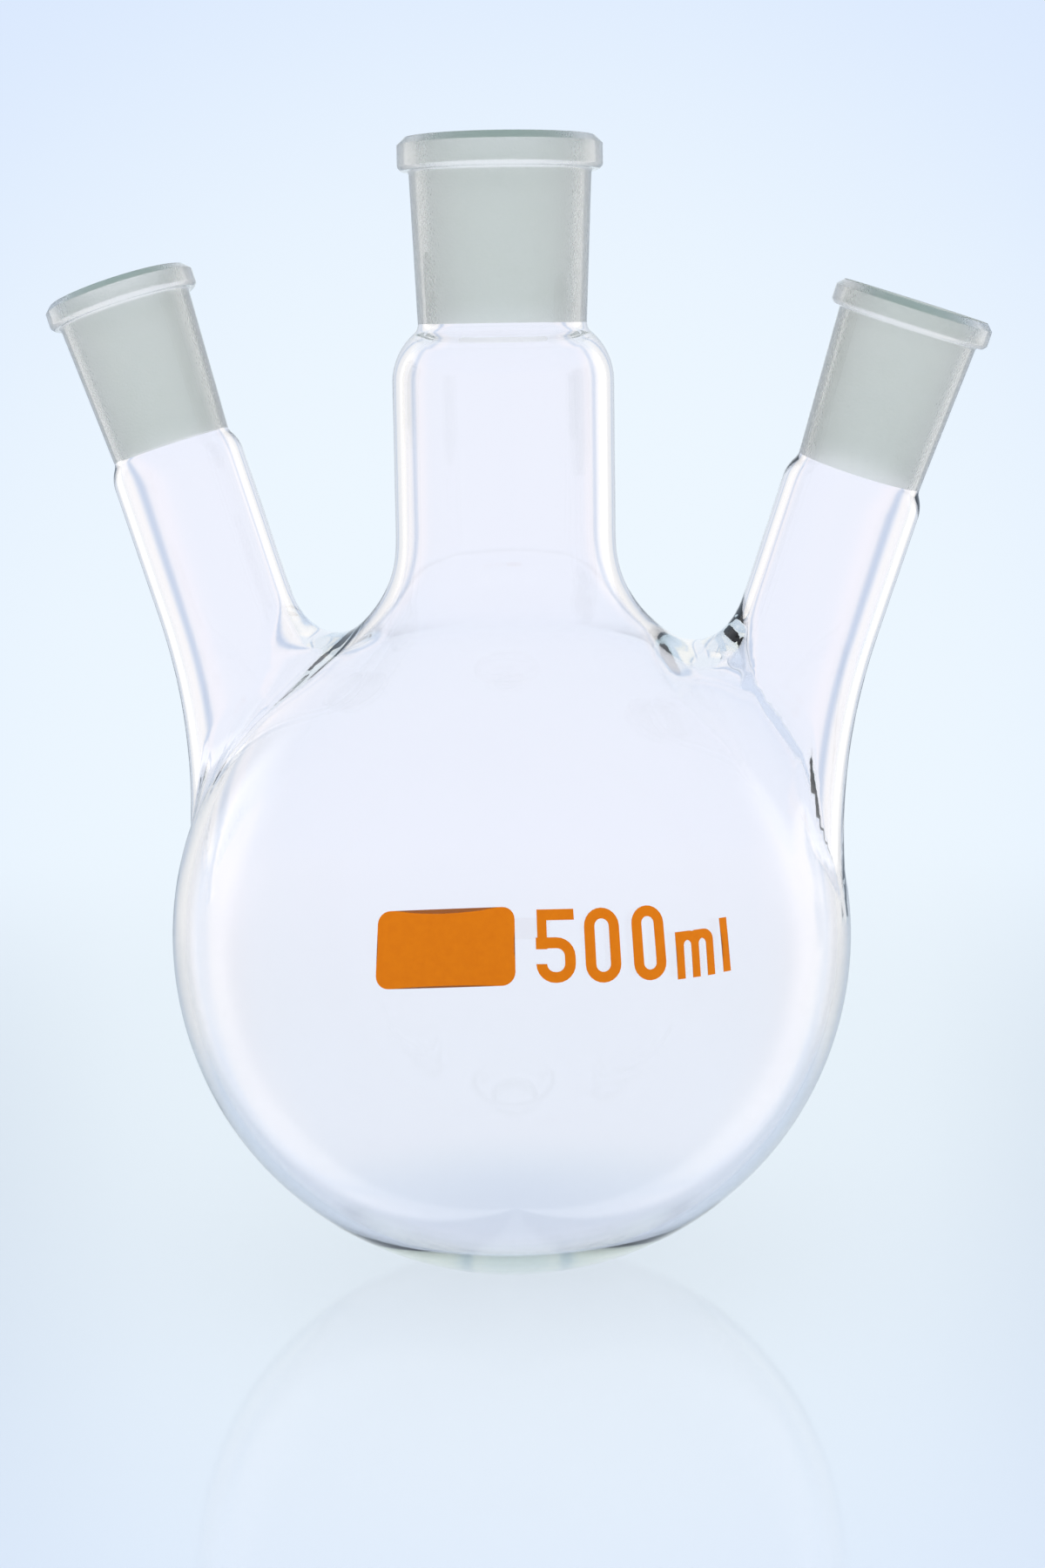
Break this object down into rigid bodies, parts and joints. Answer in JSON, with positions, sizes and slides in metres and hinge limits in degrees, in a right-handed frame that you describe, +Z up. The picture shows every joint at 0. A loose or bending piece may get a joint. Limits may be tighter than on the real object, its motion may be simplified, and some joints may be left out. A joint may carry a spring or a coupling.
{
  "type": "three neck flask",
  "caption": "Clear glass round-bottom flask with an upright centre neck and leaning side necks, each ending in a lipped ground socket.",
  "frame": {"origin": "lowest point of the round body, on the centre neck's axis", "axes": "+Z up along the centre neck, the three necks' axes lie in the XZ plane, +X towards the shorter side neck, +Y towards the back"},
  "size_m": [0.1451, 0.105, 0.1736],
  "materials": {
    "clear_glass": "clear and fire-polished, with the insides of the three sockets ground matt"
  },
  "bodies": {
    "root": {"body": "clear_glass", "centre_neck": "clear_glass", "left_neck": "clear_glass", "right_neck": "clear_glass"}
  },
  "joints": []
}
